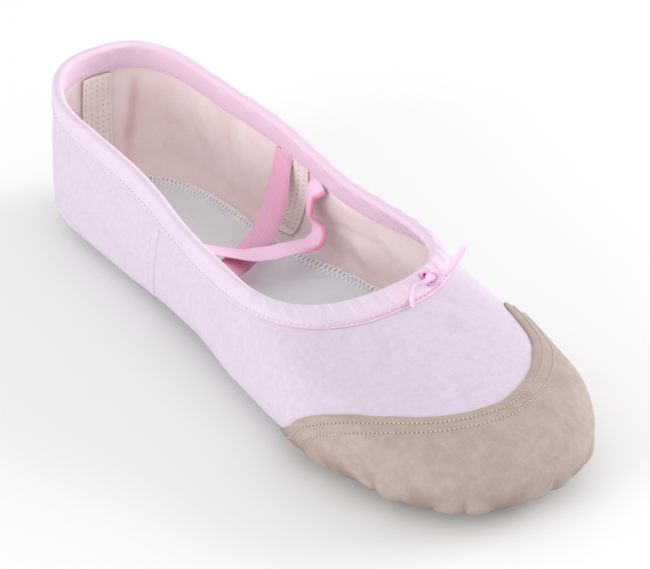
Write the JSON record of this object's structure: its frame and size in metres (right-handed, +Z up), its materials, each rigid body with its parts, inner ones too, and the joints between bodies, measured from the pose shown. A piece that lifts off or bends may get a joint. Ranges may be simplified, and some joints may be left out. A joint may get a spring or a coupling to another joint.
{
  "type": "soft ballet slipper",
  "caption": "Soft split-sole ballet slipper in canvas, with a leather toe cap, suede sole patches, a knitted drawstring collar and slack crossed elastics",
  "frame": {"origin": "centre of the shoe's bounding box at floor level, where the sole patches rest", "axes": "+Z up, toe towards -Y, heel towards +Y, +X to the side where the drawstring's long end points"},
  "size_m": [0.0889, 0.24, 0.0556],
  "materials": {
    "upper": "matte",
    "toe_cap": "matte",
    "sole_front": "suede",
    "sole_heel": "suede",
    "collar_binding": "matte",
    "insole": "matte",
    "back_tape": "matte",
    "side_tape_left": "matte",
    "side_tape_right": "matte",
    "elastic_rear": "matte",
    "elastic_front": "matte",
    "drawstring_knot": "matte",
    "drawstring_long": "matte",
    "drawstring_short": "matte"
  },
  "bodies": {
    "root": {"upper": "upper", "toe_cap": "toe_cap", "sole_front": "sole_front", "sole_heel": "sole_heel", "collar_binding": "collar_binding", "insole": "insole", "back_tape": "back_tape", "side_tape_left": "side_tape_left", "side_tape_right": "side_tape_right", "elastic_rear": "elastic_rear", "elastic_front": "elastic_front", "drawstring_knot": "drawstring_knot", "drawstring_long": "drawstring_long", "drawstring_short": "drawstring_short"}
  },
  "joints": []
}
